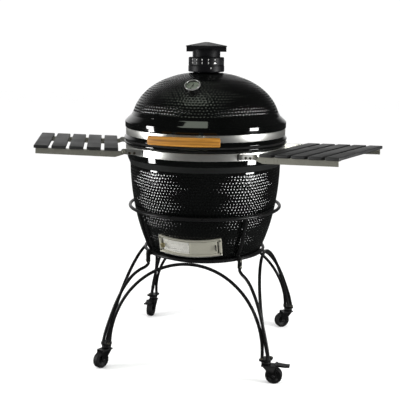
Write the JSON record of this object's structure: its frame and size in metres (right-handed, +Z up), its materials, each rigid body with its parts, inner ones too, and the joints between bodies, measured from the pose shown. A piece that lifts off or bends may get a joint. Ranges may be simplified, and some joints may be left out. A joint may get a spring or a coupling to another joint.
{
  "type": "kamado ceramic grill",
  "caption": "Egg-shaped ceramic charcoal grill with a hinged dome lid, twist vent, sliding draft door and fold-down side shelves on a wheeled rod stand.",
  "frame": {"origin": "on the floor under the middle of the overall box", "axes": "+Z up, front of the grill (handle, draft door, thermometer) towards -Y, side shelves along X; the grill's own vertical axis stands at y = 0.01416 m"},
  "size_m": [1.3158, 0.7344, 1.185],
  "materials": {
    "black_glaze": "glossy, dimpled black glaze",
    "fireclay": "bare, matte",
    "black_felt": "woven heat-proof rope",
    "cast_iron": "rough cast",
    "brushed_steel": "satin stainless",
    "polished_steel": "bright stainless",
    "vent_black": "satin black coating",
    "black_paint": "satin black powder coat",
    "black_rubber": "matte",
    "dark_slat": "fine matte grain",
    "bamboo": "lacquered, laminated strips",
    "clear_glass": "clear",
    "pointer_black": "matte"
  },
  "bodies": {
    "base": {"base_shell": "black_glaze", "firebox": "fireclay", "fire_ring": "fireclay", "charcoal_grate": "cast_iron", "cooking_grate": "brushed_steel", "base_gasket": "black_felt", "lower_band": "polished_steel", "hinge_lower_bracket": "brushed_steel", "hinge_pin": "brushed_steel", "hinge_spring": "brushed_steel", "draft_frame": "brushed_steel", "cradle": "black_paint", "stand_arch_front": "black_paint", "stand_arch_right": "black_paint", "stand_arch_rear": "black_paint", "stand_arch_left": "black_paint", "stand_leg_front_left": "black_paint", "stand_leg_front_right": "black_paint", "stand_leg_rear_right": "black_paint", "stand_leg_rear_left": "black_paint", "shelf_bracket_left": "brushed_steel", "shelf_bracket_right": "brushed_steel"},
    "lid": {"dome_shell": "black_glaze", "dome_gasket": "black_felt", "upper_band": "polished_steel", "hinge_upper_bracket": "brushed_steel", "handle_bar": "bamboo", "handle_bracket_left": "polished_steel", "handle_bracket_right": "polished_steel", "thermometer_case": "polished_steel", "thermometer_lens": "clear_glass", "vent_body": "vent_black"},
    "needle": {"thermometer_needle": "pointer_black"},
    "rack_flap": {"rack_flap": "brushed_steel"},
    "vent_top": {"vent_ring": "vent_black", "vent_cap": "vent_black"},
    "draft_door": {"draft_panel": "brushed_steel"},
    "draft_mesh": {"draft_screen": "brushed_steel"},
    "shelf_left": {"shelf_frame_left": "brushed_steel", "slat_left_1": "dark_slat", "slat_left_2": "dark_slat", "slat_left_3": "dark_slat", "slat_left_4": "dark_slat", "slat_left_5": "dark_slat"},
    "shelf_right": {"shelf_frame_right": "brushed_steel", "slat_right_1": "dark_slat", "slat_right_2": "dark_slat", "slat_right_3": "dark_slat", "slat_right_4": "dark_slat", "slat_right_5": "dark_slat"},
    "swivel_front_left": {"caster_fork_front_left": "black_paint"},
    "wheel_front_left": {"caster_wheel_front_left": "black_rubber"},
    "swivel_front_right": {"caster_fork_front_right": "black_paint"},
    "wheel_front_right": {"caster_wheel_front_right": "black_rubber"},
    "swivel_rear_right": {"caster_fork_rear_right": "black_paint"},
    "wheel_rear_right": {"caster_wheel_rear_right": "black_rubber"},
    "swivel_rear_left": {"caster_fork_rear_left": "black_paint"},
    "wheel_rear_left": {"caster_wheel_rear_left": "black_rubber"},
    "brake_front_right": {"caster_brake_front_right": "black_paint"},
    "brake_rear_left": {"caster_brake_rear_left": "black_paint"}
  },
  "joints": [
    {"name": "lid_hinge", "type": "hinge", "parent": "base", "child": "lid", "pos_m": [0, 0.35716, 0.838], "axis": [-1, 0, 0], "range_deg": [0, 75]},
    {"name": "rack_flap_fold", "type": "hinge", "parent": "base", "child": "rack_flap", "pos_m": [0, -0.04584, 0.7893], "axis": [-1, 0, 0], "range_deg": [0, 90]},
    {"name": "vent_turn", "type": "hinge", "parent": "lid", "child": "vent_top", "pos_m": [0, 0.01416, 1.115], "axis": [0, 0, 1], "range_deg": [-14, 64]},
    {"name": "needle_turn", "type": "hinge", "parent": "lid", "child": "needle", "pos_m": [0, -0.18584, 1.02342], "axis": [0, 0.5647, -0.8253], "range_deg": [0, 270]},
    {"name": "draft_door_slide", "type": "hinge", "parent": "base", "child": "draft_door", "pos_m": [0, 0.01416, 0.54256], "axis": [0, -0.3341, 0.9426], "range_deg": [-19, 0]},
    {"name": "draft_mesh_slide", "type": "hinge", "parent": "base", "child": "draft_mesh", "pos_m": [0, 0.01416, 0.54256], "axis": [0, -0.3341, 0.9426], "range_deg": [0, 19]},
    {"name": "shelf_left_fold", "type": "hinge", "parent": "base", "child": "shelf_left", "pos_m": [-0.29375, -0.09276, 0.8], "axis": [0.342, -0.9397, 0], "range_deg": [0, 90]},
    {"name": "shelf_right_fold", "type": "hinge", "parent": "base", "child": "shelf_right", "pos_m": [0.29375, -0.09276, 0.8], "axis": [0.342, 0.9397, 0], "range_deg": [0, 90]},
    {"name": "swivel_front_left", "type": "hinge", "parent": "base", "child": "swivel_front_left", "pos_m": [-0.29875, -0.28459, 0.0753], "axis": [0, 0, 1], "continuous": true},
    {"name": "wheel_front_left", "type": "hinge", "parent": "swivel_front_left", "child": "wheel_front_left", "pos_m": [-0.31209, -0.30978, 0.0305], "axis": [0.8838, -0.4679, 0], "continuous": true},
    {"name": "swivel_front_right", "type": "hinge", "parent": "base", "child": "swivel_front_right", "pos_m": [0.29875, -0.28459, 0.0753], "axis": [0, 0, 1], "continuous": true},
    {"name": "wheel_front_right", "type": "hinge", "parent": "swivel_front_right", "child": "wheel_front_right", "pos_m": [0.3272, -0.28285, 0.0305], "axis": [-0.0611, 0.9981, 0], "continuous": true},
    {"name": "brake_front_right", "type": "hinge", "parent": "swivel_front_right", "child": "brake_front_right", "pos_m": [0.33618, -0.2823, 0.069], "axis": [-0.0611, 0.9981, 0], "range_deg": [-14, 0]},
    {"name": "swivel_rear_right", "type": "hinge", "parent": "base", "child": "swivel_rear_right", "pos_m": [0.29875, 0.31291, 0.0753], "axis": [0, 0, 1], "continuous": true},
    {"name": "wheel_rear_right", "type": "hinge", "parent": "swivel_rear_right", "child": "wheel_rear_right", "pos_m": [0.27485, 0.29739, 0.0305], "axis": [0.5446, -0.8387, 0], "continuous": true},
    {"name": "swivel_rear_left", "type": "hinge", "parent": "base", "child": "swivel_rear_left", "pos_m": [-0.29875, 0.31291, 0.0753], "axis": [0, 0, 1], "continuous": true},
    {"name": "wheel_rear_left", "type": "hinge", "parent": "swivel_rear_left", "child": "wheel_rear_left", "pos_m": [-0.30054, 0.28447, 0.0305], "axis": [0.998, -0.0628, 0], "continuous": true},
    {"name": "brake_rear_left", "type": "hinge", "parent": "swivel_rear_left", "child": "brake_rear_left", "pos_m": [-0.30111, 0.27549, 0.069], "axis": [0.998, -0.0628, 0], "range_deg": [-14, 0]}
  ]
}
